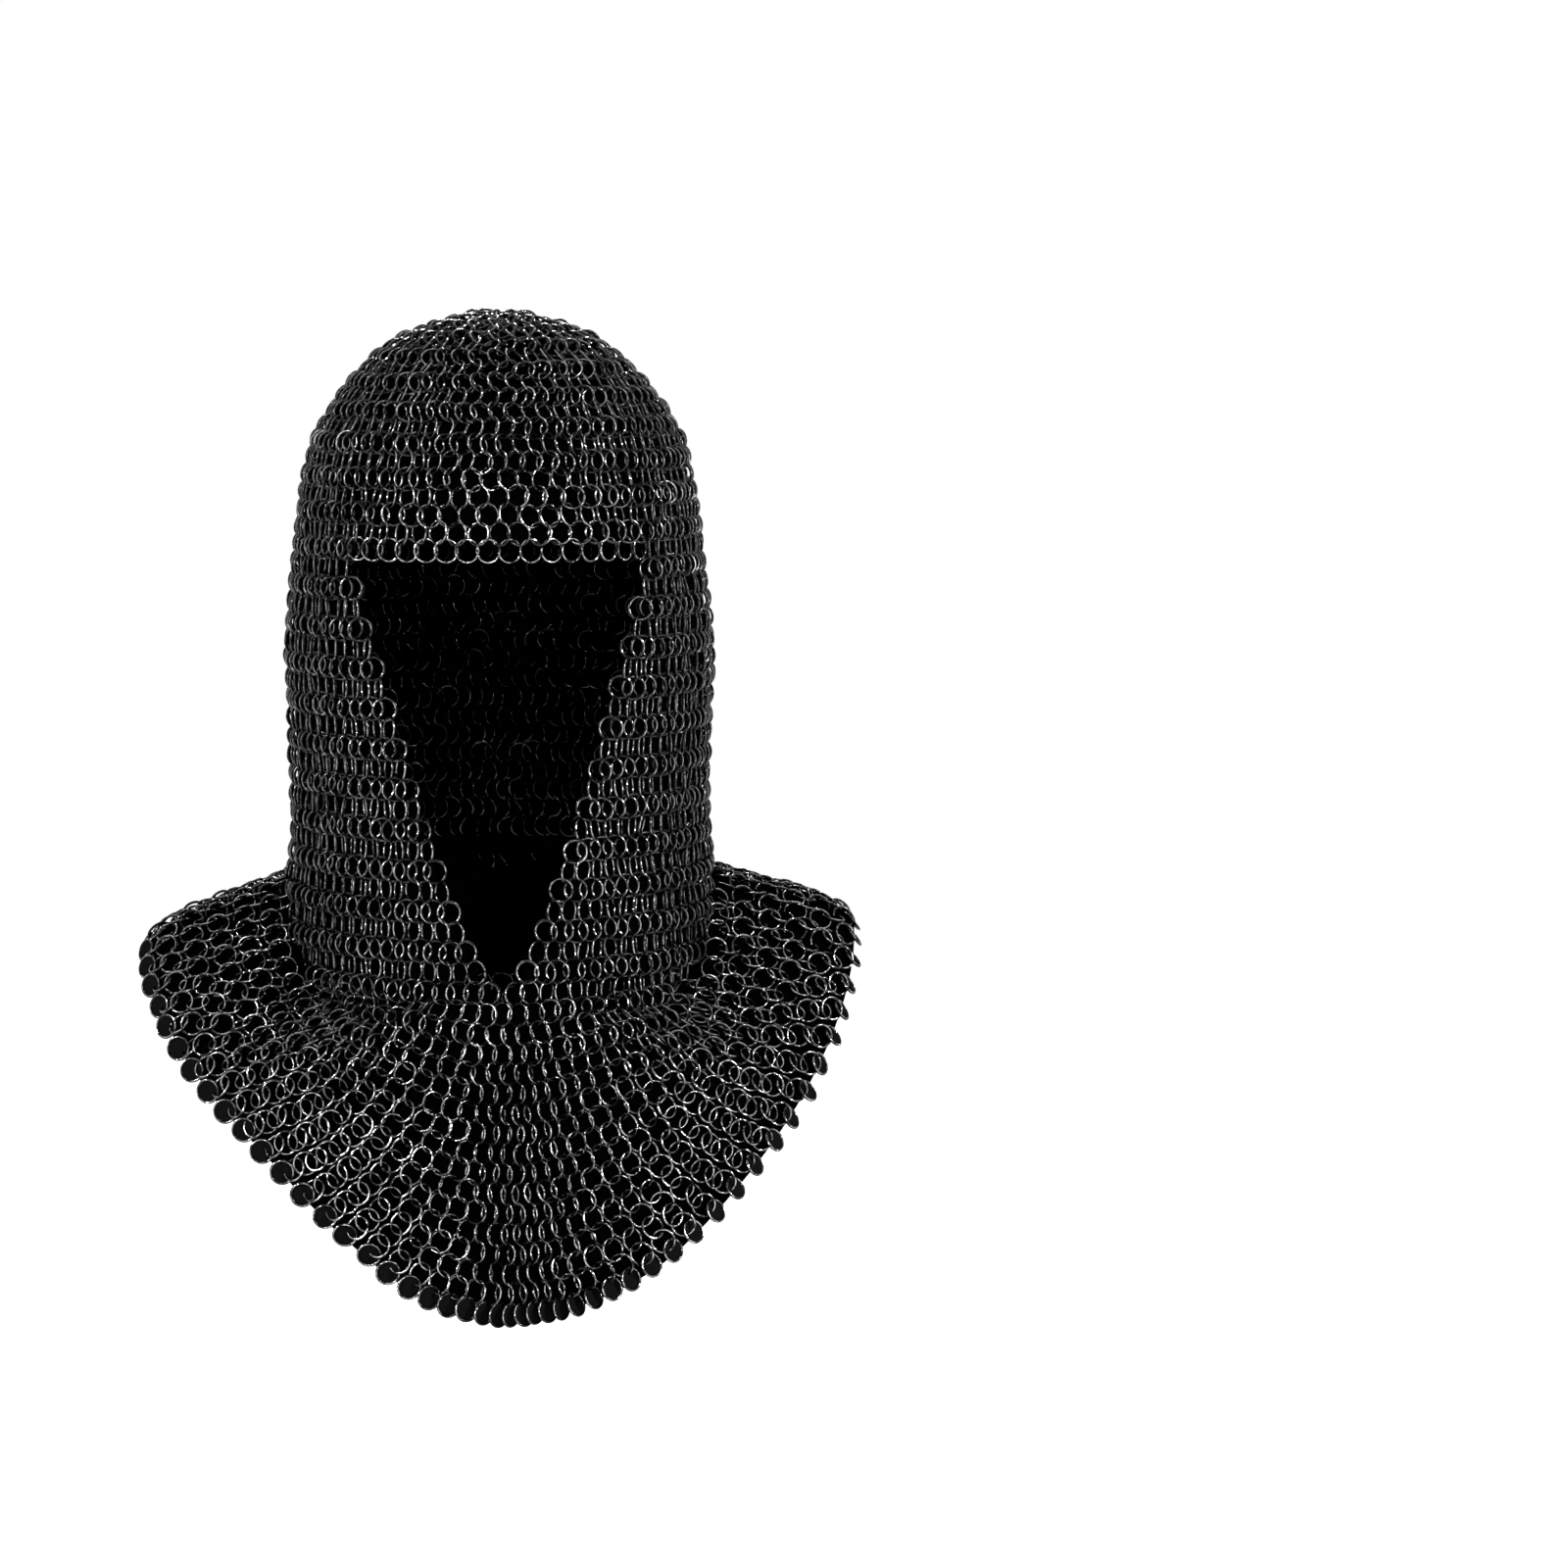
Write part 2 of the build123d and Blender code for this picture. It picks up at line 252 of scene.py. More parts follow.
# Shapes
def spline(knots, place):
    """A smooth curve through evenly numbered knots. Its first and last knots only
    set the slope at the ends, and the second one has number 0."""
    knots = np.asarray(knots, float)
    place = np.asarray(place, float)
    i = np.clip(np.floor(place).astype(int), 0, len(knots) - 4)
    f = place - i
    a, b, c, d = knots[i], knots[i + 1], knots[i + 2], knots[i + 3]
    return b + 0.5 * f * (c - a + f * (2 * a - 5 * b + 4 * c - d + f * (3 * (b - c) + d - a)))


def turned(turns):
    """Turns from -180 to 180."""
    return (np.asarray(turns, float) + 180) % 360 - 180


def around(right, left, turn):
    """A value given every facet on each side, from the front to the back, at any turn."""
    ring = list(left) + list(right[-2:0:-1])
    place = (np.asarray(turn, float) / FACET_TURN) % len(ring)
    return spline([ring[-1]] + ring + ring[:2], place)


def oval(turn, half_width, front_depth, back_depth):
    """Radius of an oval at a turn."""
    turn = np.radians(turn)
    depth = np.where(np.cos(turn) > 0, front_depth, back_depth)
    return 1 / np.sqrt((np.sin(turn) / half_width) ** 2 + (np.cos(turn) / depth) ** 2)


def point(turn, radius, height):
    """Points from their turn, radius and height."""
    turn = np.radians(turn)
    turn, radius, height = np.broadcast_arrays(turn, radius, height)
    return np.stack([radius * np.sin(turn), -radius * np.cos(turn), height], -1)


def padded(column, mirrored):
    """A column of the hood's table with an extra knot at each end."""
    start = -column[1] if mirrored else column[1]
    return [start] + list(column) + [2 * column[-1] - column[-2]]


HOOD_COLUMNS = [padded(column, i > 0) for i, column in enumerate(zip(*HOOD_SHARES))]
HOOD_LEVELS = len(HOOD_SHARES) - 1
HOOD_BOTTOM = MAIL_THICKNESS - HOOD_DROP


def neck_radius(turn):
    return oval(turn, NECK_HALF_WIDTH, NECK_FRONT_DEPTH, NECK_BACK_DEPTH)


def neck_height(turn):
    shares = around(NECK_SHARES, NECK_SHARES, turn)
    return MAIL_THICKNESS - NECK_SIDE_DROP - NECK_FRONT_EXTRA_DROP * shares


def hem_height(turn):
    rear = [HEM_SIDE_DROP + HEM_BACK_EXTRA_DROP * share for share in HEM_REAR_SHARES]
    left = [HEM_SIDE_DROP + HEM_FRONT_EXTRA_DROP * share for share in HEM_LEFT_SHARES]
    right = [HEM_SIDE_DROP + HEM_FRONT_EXTRA_DROP * share for share in HEM_RIGHT_SHARES]
    return MAIL_THICKNESS - around(right + rear, left + rear, turn)


def hood_height(level):
    drop = spline(HOOD_COLUMNS[0], np.minimum(level, HOOD_LEVELS)) * HOOD_DROP
    return MAIL_THICKNESS - drop - np.maximum(level - HOOD_LEVELS, 0) * LEVEL_STEP


def hood(turn, level):
    """The outside of the hood. Level 0 is the pole and the table's last row ends it.
    From there on a level is a fixed step down, towards the neck line."""
    top = np.minimum(level, HOOD_LEVELS)
    radius = oval(
        turn,
        HOOD_HALF_WIDTH * np.maximum(spline(HOOD_COLUMNS[1], top), 1e-4),
        HOOD_FRONT_DEPTH * np.maximum(spline(HOOD_COLUMNS[2], top), 1e-4),
        HOOD_BACK_DEPTH * np.maximum(spline(HOOD_COLUMNS[3], top), 1e-4),
    )
    height = hood_height(level)
    share = np.clip((HOOD_BOTTOM - height) / (HOOD_BOTTOM - neck_height(turn)), 0, 1)
    return point(turn, radius + (neck_radius(turn) - radius) * share, height)


def mantle(turn, way):
    """The outside of the mantle: way 0 is the neck line and 1 is the hem. Above the
    neck line it goes on up the neck."""
    start = neck_radius(turn)
    reach = oval(turn, HEM_HALF_WIDTH, HEM_FRONT_DEPTH, HEM_BACK_DEPTH) - start
    side = np.sin(np.radians(turn)) ** 2
    straight = SHOULDER_SLOPE * side
    fall = 1 + CHEST_HOLD + (SHOULDER_POWER - 1) * side
    below = np.maximum(way, 0)
    top = neck_height(turn)
    depth = top - hem_height(turn)
    height = top - depth * (straight * below + (1 - straight) * below**fall)
    height = height - NECK_RUN * np.minimum(way, 0)
    for place, width, rise in SHOULDER_LIFTS:
        away = (turned(turn) - place) / width
        height = height + rise * np.exp(-(away**2)) * np.minimum(below, 1)
    return point(turn, start + reach * below, height)


def surface(shape, turn, along, inset):
    """Points set in from a shape's outside, and the outward direction there."""
    turn, along = np.broadcast_arrays(np.asarray(turn, float), np.asarray(along, float))
    across = shape(turn + SMALL_TURN, along) - shape(turn - SMALL_TURN, along)
    down = shape(turn, along + SMALL_WAY) - shape(turn, along)
    outward = np.cross(down, across)
    outward /= np.linalg.norm(outward, axis=-1, keepdims=True)
    place = shape(turn, along)
    inner = np.array([0, 0, 2 * HOOD_BOTTOM])
    side = np.sign(np.sum(outward * (place - inner), -1, keepdims=True))
    outward = outward * side
    return place - outward * inset, outward


# Rings
class Field:
    """All rings of the mail, gathered before the meshes are made."""

    def __init__(self):
        self.rows = []

    def add(self, centre, along, outward, lean, tilt, names):
        """Adds rings. along is the way the row runs. lean turns a ring's face from
        straight outward towards it, and tilt turns the face up or down."""
        along = along - outward * np.sum(along * outward, -1, keepdims=True)
        along /= np.linalg.norm(along, axis=-1, keepdims=True)
        lean = np.radians(np.broadcast_to(lean, len(centre)))[:, None]
        level_facing = outward * np.cos(lean) + along * np.sin(lean)
        down = np.cross(outward, along)
        tilt = np.radians(tilt)[:, None]
        facing = level_facing * np.cos(tilt) + down * np.sin(tilt)
        free = down * np.cos(tilt) - level_facing * np.sin(tilt)
        self.rows.append((centre, free, facing, outward, np.asarray(names)))

    def gather(self):
        return [np.concatenate(column) for column in zip(*self.rows)]


field = Field()


def lie(shape, turns, along_of, sign, names):
    """Lays one row of rings on a shape, at its turns."""
    inset = MAIL_THICKNESS / 2
    centre, outward = surface(shape, turns, along_of(turns), inset)
    step = ROW_STEP_TURN
    ahead, _ = surface(shape, turns + step, along_of(turns + step), inset)
    behind, _ = surface(shape, turns - step, along_of(turns - step), inset)
    along = ahead - behind
    speed = np.linalg.norm(along, axis=-1) / (2 * step)
    gaps = np.abs(np.diff(np.append(turns, turns[:1] + 360)))
    pitch = speed * np.minimum(gaps, np.roll(gaps, 1))
    count = len(turns)
    loose = np.interp(np.abs(turned(turns)), LOOSE_TURNS, [1.0, REAR_LOOSE])
    lean = sign * np.interp(pitch, LEAN_PITCHES, LEANS) + rng.normal(0, LEAN_PLAY, count) * loose
    tilt = rng.normal(0, TILT_PLAY, count) * loose
    centre = centre + rng.normal(0, PLACE_PLAY, (count, 3))
    field.add(centre, along, outward, lean, tilt, names)


def hood_names(turns, height):
    """The frame's node that each ring of the hood belongs to."""
    dome_end = float(hood_height(np.array(DOME_END_LEVEL)))
    brow_end = float(hood_height(np.array(BROW_END_LEVEL)))
    names = []
    for turn in turned(turns):
        side = "left" if turn > 0 else "right"
        size = abs(turn)
        if height > dome_end:
            front, back = DOME_TURNS
            part = "front" if size <= front else "back" if size >= back else side
            names.append(f"dome_{part}_mail")
        elif height > brow_end:
            front, back = BROW_TURNS
            if size <= front:
                names.append("brow_mail")
            elif size <= back:
                names.append(f"{side}_temple_mail")
            else:
                names.append(f"back_of_head_{side}_mail")
        else:
            front, back = CHEEK_TURNS
            if size <= front:
                names.append(f"{side}_cheek_mail")
            elif size <= back:
                names.append(f"{side}_side_mail")
            else:
                names.append(f"nape_{side}_mail")
    return names


def mantle_names(turns):
    """The frame's node that each ring of the mantle belongs to."""
    parts = [
        "bib_{}_mail", "front_shoulder_{}_mail", "rear_shoulder_{}_mail", "mantle_back_{}_mail",
    ]
    names = []
    for turn in turned(turns):
        part = parts[min(int(abs(turn) // MANTLE_TURN), len(parts) - 1)]
        names.append(part.format("left" if turn > 0 else "right"))
    return names


# Places of the rows on the hood
brow_boxes = [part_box(f"brow_ring_{i:02d}") for i in range(1, 17)]
brow_places = np.array([list((low + high) / 2) for low, high in brow_boxes]) / MM
brow_turns = turned(np.degrees(np.arctan2(brow_places[:, 0], -brow_places[:, 1])))
brow_row_height = brow_places[:, 2].mean()
point_row_height = MAIL_THICKNESS - POINT_ROW_DROP

levels = np.linspace(0, HOOD_LEVELS, LEVEL_SAMPLES)
front_line, _ = surface(hood, 0.0, levels, MAIL_THICKNESS / 2)
front_lengths = np.append(0, np.cumsum(np.linalg.norm(np.diff(front_line, axis=0), axis=-1)))


def level_at(height):
    """The level on the hood at a height of the mail's outside."""
    if height < HOOD_BOTTOM:
        return HOOD_LEVELS + (HOOD_BOTTOM - height) / LEVEL_STEP
    return float(np.interp(-height, -hood_height(levels), levels))


brow_length = float(np.interp(level_at(brow_row_height), levels, front_lengths))


def opening_half_width(height):
    """Half the width of the face opening at a height."""
    bottom = MAIL_THICKNESS - OPENING_BOTTOM_DROP
    share = (height - bottom) / (OPENING_BOTTOM_DROP - OPENING_TOP_DROP)
    return OPENING_HALF_WIDTH * np.maximum(share, 0) ** OPENING_CURVE


def row_sign(row):
    """The brow's free row leans towards +turn, and the rows take turns."""
    return 1 if (row - BROW_ROW) % 2 == 0 else -1


def row_halves(row, rings):
    """Where the rings of a whole row stand, in half ring widths from the front."""
    halves = np.arange(-rings, rings)
    return halves[(halves - row + BROW_ROW) % 2 == 1]


def lie_level(turns, level, row, names):
    """Lays a row of rings on the hood, at one level."""
    lie(hood, turns, lambda turn: np.full(np.shape(turn), level), row_sign(row), names)


def dome_row(row):
    """A whole row between the crown ring and the brow."""
    level = float(np.interp(row * brow_length / BROW_ROW, front_lengths, levels))
    if row < CROWN_ROWS:
        count = CROWN_SIDES * row
        turns = 360 * np.arange(count) / count
        turns = turns + 180 / count * (row % 2)
    else:
        halves = row_halves(row, DOME_RINGS)
        even = halves * 180 / DOME_RINGS
        share = np.clip((row - CROWN_ROWS) / (BROW_ROW - 2 - CROWN_ROWS), 0, 1)
        knots = [0, BROW_CORNER_HALVES, DOME_RINGS]
        bent = np.interp(np.abs(halves), knots, [0, BROW_CORNER_TURN, 180])
        turns = even * (1 - share) + np.sign(halves) * bent * share
    if row == BROW_ROW:
        turns = turns[np.abs(halves) > BROW_CORNER_HALVES]
    lie_level(turns, level, row, hood_names(turns, float(hood_height(np.array(level)))))


def cheek_row(number):
    """A row that the face opening interrupts. Each one starts half a ring nearer the
    front than the row above it."""
    row_height = brow_row_height + (point_row_height - brow_row_height) * number / CHEEK_ROWS
    level = level_at(row_height)
    edge = float(opening_half_width(row_height)) + RING_RADIUS + WIRE / 4
    if number == CHEEK_ROWS:
        edge = POINT_RING_OUT
    edge_turn = EDGE_TURN_GUESS
    for _ in range(EDGE_TURN_ROUNDS):
        outside = float(np.linalg.norm(hood(np.array(edge_turn), np.array(level))[:2]))
        edge_turn = math.degrees(math.asin(edge / (outside - MAIL_THICKNESS / 2)))
    corner = EDGE_HALVES + number
    halves = np.arange(corner, -1, -2)
    one_side = 180 - halves * (180 - edge_turn) / corner
    other_side = -one_side if halves[-1] else -one_side[:-1]
    turns = np.sort(np.concatenate([one_side, other_side[::-1]]))
    outside_height = float(hood_height(np.array(level)))
    kept = outside_height > neck_height(turns) + HOOD_ROW_ROOM
    if number == CHEEK_ROWS:
        kept = kept | (np.abs(turns) < POINT_TURN)
    turns = turns[kept]
    names = hood_names(turns, outside_height)
    for i, turn in enumerate(turns):
        if abs(abs(turn) - edge_turn) < SAME_TURN:
            names[i] = names[i].replace("cheek_mail", "cheek_edge_rings")
    lie_level(turns, level, BROW_ROW + number, names)


# Arc lengths on the mantle from the hem up to the neck line, and on to the closing row
grid_turns = np.arange(-180, 181, GRID_TURN)
ways = np.linspace(TOP_WAY, 1, WAY_SAMPLES)
mantle_grid, _ = surface(mantle, grid_turns[:, None], ways[None, :], MAIL_THICKNESS / 2)
steps = np.linalg.norm(np.diff(mantle_grid, axis=1), axis=-1)
below_top = np.cumsum(steps[:, ::-1], axis=1)[:, ::-1]
from_hem = np.concatenate([below_top, np.zeros((len(grid_turns), 1))], axis=1)
top_ways = -np.maximum(point_row_height - neck_height(grid_turns), 0) / NECK_RUN
full_lengths = np.array([
    np.interp(way, ways, lengths) for way, lengths in zip(top_ways, from_hem)
])
row_step = np.maximum((full_lengths - NECK_ROOM) / MANTLE_ROWS, MANTLE_ROW_LEAST)


def mantle_row(number):
    """A row of the mantle, counted up from the hem. Where the shoulders leave less
    room than at the front, the upper rows end in the fold at the neck."""
    goal = number * row_step
    row_ways = np.array([
        np.interp(-goal[i], -from_hem[i], ways) for i in range(len(grid_turns))
    ])

    def way_of(turn):
        return np.interp(turned(turn), grid_turns, row_ways)

    row = BROW_ROW + CHEEK_ROWS + MANTLE_ROWS - number
    even = row_halves(row, NECK_RINGS) * 180 / NECK_RINGS
    crowd = np.interp(number, CROWD_ROWS, CROWDS)
    share = even / 180
    shift = np.tanh(CROWD_TURN / CROWD_WIDTH) * (1 - np.abs(share))
    pull = share - np.tanh((even - CROWD_TURN) / CROWD_WIDTH) - shift
    turns = even + crowd * CROWD_WIDTH * pull
    room = np.interp(turned(turns), grid_turns, full_lengths - goal)
    turns = turns[room > MANTLE_ROW_ROOM]
    lie(mantle, turns, way_of, row_sign(row), mantle_names(turns))


for row in range(1, BROW_ROW + 1):
    dome_row(row)
for number in range(1, CHEEK_ROWS + 1):
    cheek_row(number)
for number in range(MANTLE_ROWS):
    mantle_row(number)
    if number == 0:
        hem_rings = field.rows[-1]


# The ring meshes
def ring_mesh(name, centre, free, facing, outward):
    """One mesh of butted rings. Each vertex keeps a tone for its ring, and how far it
    looks out of the mail, where it gets rubbed and a highlight is painted on."""
    count = len(centre)
    side = np.cross(facing, free)
    start = rng.uniform(0, 2 * math.pi, count)
    gap = JOINT_GAP / RING_RADIUS
    station = np.linspace(gap / 2, 2 * math.pi - gap / 2, RING_STATIONS)
    angle = start[:, None] + station[None, :]
    twist = np.linspace(-0.5, 0.5, RING_STATIONS) ** JOINT_POWER * 2 ** (JOINT_POWER - 1)
    offset = twist * JOINT_STEP
    phi = 2 * math.pi * np.arange(WIRE_SIDES) / WIRE_SIDES
    spoke = np.cos(angle)[..., None] * free[:, None] + np.sin(angle)[..., None] * side[:, None]
    normal = (
        np.cos(phi)[None, None, :, None] * spoke[:, :, None]
        + np.sin(phi)[None, None, :, None] * facing[:, None, None]
    )
    path = centre[:, None] + RING_RADIUS * spoke + offset[None, :, None] * facing[:, None]
    verts = path[:, :, None] + WIRE / 2 * normal
    # How far the wire faces out of the mail: where it shows wear and a painted highlight
    rub_and_highlight = np.sum(normal * outward[:, None, None], -1)
    tone = np.broadcast_to(rng.uniform(0, 1, count)[:, None, None], rub_and_highlight.shape)

    s, w = np.meshgrid(np.arange(RING_STATIONS - 1), np.arange(WIRE_SIDES), indexing="ij")
    following = (w + 1) % WIRE_SIDES
    quads = np.stack([
        s * WIRE_SIDES + w, s * WIRE_SIDES + following,
        (s + 1) * WIRE_SIDES + following, (s + 1) * WIRE_SIDES + w,
    ], -1).reshape(-1, 4)
    per_ring = RING_STATIONS * WIRE_SIDES
    base = (np.arange(count) * per_ring)[:, None]
    quad_loops = (quads.reshape(-1)[None] + base).reshape(-1)
    first_cap = np.arange(WIRE_SIDES)[::-1]
    last_cap = np.arange(WIRE_SIDES) + (RING_STATIONS - 1) * WIRE_SIDES
    cap_loops = (np.concatenate([first_cap, last_cap])[None] + base).reshape(-1)
    loops = np.concatenate([quad_loops, cap_loops])
    quad_count = len(quads) * count
    starts = np.concatenate([
        np.arange(quad_count) * 4,
        quad_count * 4 + np.arange(2 * count) * WIRE_SIDES,
    ])

    mesh = bpy.data.meshes.new(name)
    mesh.vertices.add(count * per_ring)
    mesh.vertices.foreach_set("co", (verts * MM).reshape(-1).astype(np.float32))
    mesh.loops.add(len(loops))
    mesh.loops.foreach_set("vertex_index", loops.astype(np.int32))
    mesh.polygons.add(len(starts))
    mesh.polygons.foreach_set("loop_start", starts.astype(np.int32))
    mesh.polygons.foreach_set("use_smooth", np.arange(len(starts)) < quad_count)
    mesh.update(calc_edges=True)
    for label, values in (("rub_and_highlight", rub_and_highlight), ("tone", tone)):
        attribute = mesh.attributes.new(label, "FLOAT", "POINT")
        attribute.data.foreach_set("value", values.reshape(-1).astype(np.float32))
    return mesh


# The material of the rings
def new_node(tree, kind, x, y, **inputs):
    """A shader node at a place, with some inputs set."""
    node = tree.nodes.new(kind)
    node.location = (x, y)
    for key, value in inputs.items():
        node.inputs[key.replace("_", " ")].default_value = value
    return node


def combined(tree, x, y, operation, first, second):
    """A maths node's result from an output and another output or a number."""
    node = new_node(tree, "ShaderNodeMath", x, y)
    node.operation = operation
    tree.links.new(first, node.inputs[0])
    if isinstance(second, float):
        node.inputs[1].default_value = second
    else:
        tree.links.new(second, node.inputs[1])
    return node.outputs[0]


def ranged(tree, x, y, value, **ends):
    """A value mapped from one range to another."""
    node = new_node(tree, "ShaderNodeMapRange", x, y, **ends)
    tree.links.new(value, node.inputs["Value"])
    return node.outputs[0]


def blackened_steel(name, bare_highlight_share):
    """Blackened steel wire: a dark oxide skin, glossy, uneven from ring to ring, and
    rubbed towards bright steel where the wire looks out of the mail: partly wear, partly a
    painted highlight on the side of each wire that faces out."""
    material = bpy.data.materials.new(name)
    material.use_nodes = True
    tree = material.node_tree
    tree.nodes.clear()
    link = tree.links.new
    out = new_node(tree, "ShaderNodeOutputMaterial", 900, 0)
    shader = new_node(tree, "ShaderNodeBsdfPrincipled", 600, 0, Metallic=1.0)
    link(shader.outputs[0], out.inputs[0])

    place = new_node(tree, "ShaderNodeTexCoord", -1100, 0)
    blotch = new_node(tree, "ShaderNodeTexNoise", -900, 100, Scale=BLOTCH_SCALE, Detail=3.0)
    grain = new_node(tree, "ShaderNodeTexNoise", -900, -250, Scale=GRAIN_SCALE, Detail=4.0)
    link(place.outputs["Object"], blotch.inputs["Vector"])
    link(place.outputs["Object"], grain.inputs["Vector"])
    rub_and_highlight = new_node(tree, "ShaderNodeAttribute", -900, 400)
    rub_and_highlight.attribute_name = "rub_and_highlight"
    tone = new_node(tree, "ShaderNodeAttribute", -900, 600)
    tone.attribute_name = "tone"

    oxide = new_node(tree, "ShaderNodeValToRGB", -600, 600)
    oxide.color_ramp.elements[0].color = OXIDE_DARK
    oxide.color_ramp.elements[1].color = OXIDE_PALE
    link(tone.outputs["Fac"], oxide.inputs[0])

    mottle = blotch.outputs["Fac"]
    # Painted highlight as well as wear: the wire turns to bright steel where it faces out of the
    # mail
    high = ranged(tree, -600, 350, rub_and_highlight.outputs["Fac"], From_Min=WORN_HIGHLIGHT_START, From_Max=WORN_HIGHLIGHT_END)
    patch = ranged(tree, -600, 100, mottle, From_Min=PATCH_START, From_Max=PATCH_END)
    wear_and_highlight = combined(tree, -350, 250, "MULTIPLY", high, patch)
    bare_and_highlight = combined(tree, -150, 250, "MULTIPLY", wear_and_highlight, bare_highlight_share)
    colour = new_node(tree, "ShaderNodeMix", 100, 400)
    colour.data_type = "RGBA"
    colour.inputs["B"].default_value = BARE_STEEL_AND_HIGHLIGHT
    link(bare_and_highlight, colour.inputs["Factor"])
    link(oxide.outputs[0], colour.inputs["A"])
    link(colour.outputs["Result"], shader.inputs["Base Color"])

    rough = ranged(tree, 100, 100, mottle, To_Min=ROUGHNESS_LEAST, To_Max=ROUGHNESS_MOST)
    link(rough, shader.inputs["Roughness"])

    bump = new_node(
        tree, "ShaderNodeBump", 300, -250, Strength=BUMP_STRENGTH, Distance=BUMP_DISTANCE,
    )
    link(grain.outputs["Fac"], bump.inputs["Height"])
    link(bump.outputs[0], shader.inputs["Normal"])
    return material


mail_steel = blackened_steel("blackened_mail_steel", MAIL_BARE_HIGHLIGHT_SHARE)
ring_steel = blackened_steel("blackened_ring_steel", RING_BARE_HIGHLIGHT_SHARE)


# The pieces
def new_object(name, data):
    """An object in the scene."""
    obj = bpy.data.objects.new(name, data)
    bpy.context.scene.collection.objects.link(obj)
    return obj


def add_piece(name, mesh, material, body, nodes):
    """A piece of the coif from its mesh."""
    mesh.materials.append(material)
    piece = new_object(name, mesh)
    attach(piece, body)
    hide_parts(*nodes)


centres, frees, facings, outwards, owners = field.gather()
for owner in sorted(set(owners)):
    mine = owners == owner
    edge = owner.endswith("edge_rings")
    mesh = ring_mesh(
        owner.replace("_mail", "_links"), centres[mine], frees[mine], facings[mine], outwards[mine],
    )
    piece_name = owner.replace("_mail", "").replace("_edge_rings", "_edge") + "_links"
    add_piece(piece_name, mesh, ring_steel if edge else mail_steel, "mail", [owner])

# The crown ring lies flat, and each brow ring hangs where the frame has it
up = np.array([[0, 0, 1.0]])
crown_mesh = ring_mesh(
    "crown_link", np.array([[0, 0, MAIL_THICKNESS / 2]]), np.array([[1.0, 0, 0]]), up, up,
)
add_piece("crown_link", crown_mesh, mail_steel, "mail", ["crown_ring"])

for i, (place, turn) in enumerate(zip(brow_places, brow_turns), start=1):
    angle = math.radians(turn)
    outward = np.array([math.sin(angle), -math.cos(angle), 0])
    along = np.array([math.cos(angle), math.sin(angle), 0])
    lean = math.radians(BROW_LEAN)
    facing = outward * math.cos(lean) + along * math.sin(lean)
    link_name = f"brow_link_{i:02d}"
    node_name = f"brow_ring_{i:02d}"
    mesh = ring_mesh(link_name, place[None], -up, facing[None], outward[None])
    add_piece(link_name, mesh, ring_steel, node_name, [node_name])


# Studio
def plain(name, grey):
    """A plain matt material."""
    material = bpy.data.materials.new(name)
    material.use_nodes = True
    shader = material.node_tree.nodes["Principled BSDF"]
    shader.inputs["Base Color"].default_value = (grey, grey, grey, 1)
    shader.inputs["Roughness"].default_value = 1.0
    shader.inputs["Specular IOR Level"].default_value = 0.0
    return material


def seen_or_mirrored(tree, x, y):
    """Does the ray come from the camera, straight or by way of metal or glass?"""
    path = new_node(tree, "ShaderNodeLightPath", x, y)
    seen = path.outputs["Is Camera Ray"]
    for number, label in enumerate(("Is Glossy Ray", "Is Transmission Ray"), start=1):
        seen = combined(tree, x + 200 * number, y, "MAXIMUM", seen, path.outputs[label])
    return seen


def pale_floor():
    """A pale floor that is white to the camera and in reflections, but for a shadow."""
    material = plain("pale_floor", FLOOR_GREY)
    tree = material.node_tree
    shader = tree.nodes["Principled BSDF"]
    glow = combined(
        tree, -200, -300, "MULTIPLY", seen_or_mirrored(tree, -900, -300), FLOOR_GLOW,
    )
    shader.inputs["Emission Color"].default_value = (1, 1, 1, 1)
    tree.links.new(glow, shader.inputs["Emission Strength"])
    return material


corners = [(-1, -1), (1, -1), (1, 1), (-1, 1)]
floor = new_object("floor", bpy.data.meshes.new("floor"))
floor.data.from_pydata(
    [(FLOOR_REACH * x, FLOOR_REACH * y, -FLOOR_DROP) for x, y in corners], [], [(0, 1, 2, 3)]
)
floor.data.materials.append(pale_floor())


# Painted shade: a thin matt black sheet inside the mail, which stands in for the shade
# between and behind the rings. It is not part of the coif.
def stand_inset(turn):
    """How far the painted shade sheet lies inside the mail's middle: clear of it in front, and
    between the two sides of the rings behind, where it is also seen from the face opening."""
    behind = np.clip((np.abs(turned(turn)) - SHADE_SHEET_CLOSE_TURN) / SHADE_SHEET_CLOSE_WIDTH, 0, 1)
    return MAIL_THICKNESS / 2 + SHADE_SHEET_ROOM * (1 - behind)


def stand_grid(shape, alongs):
    turns, alongs = np.meshgrid(grid_turns, alongs)
    place, outward = surface(shape, turns, alongs, 0.0)
    return place - outward * stand_inset(turns)[..., None]


def in_opening(places):
    """Which points lie in the face opening or near its edge."""
    height = places[:, 2]
    within = np.abs(places[:, 0]) < opening_half_width(height) + OPENING_ROOM
    low = MAIL_THICKNESS - OPENING_BOTTOM_DROP - OPENING_ROOM
    high = MAIL_THICKNESS - OPENING_TOP_DROP + OPENING_ROOM
    return within & (height > low) & (height < high) & (places[:, 1] < 0)


def sheet(name, rows):
    """A sheet through rows of points, without its faces in the face opening."""
    high, wide = rows.shape[:2]
    i, j = np.meshgrid(np.arange(high - 1), np.arange(wide - 1), indexing="ij")
    start = (i * wide + j).reshape(-1)
    faces = np.stack([start, start + 1, start + wide + 1, start + wide], -1)
    points = rows.reshape(-1, 3)
    kept = faces[~in_opening(points[faces].mean(axis=1))]
    mesh = bpy.data.meshes.new(name)
    mesh.from_pydata((points * MM).tolist(), [], kept.tolist())
    return mesh


# Adds a sheet or discs of painted shade
def add_stand(name, mesh, material):
    mesh.materials.append(material)
    stand = new_object(name, mesh)


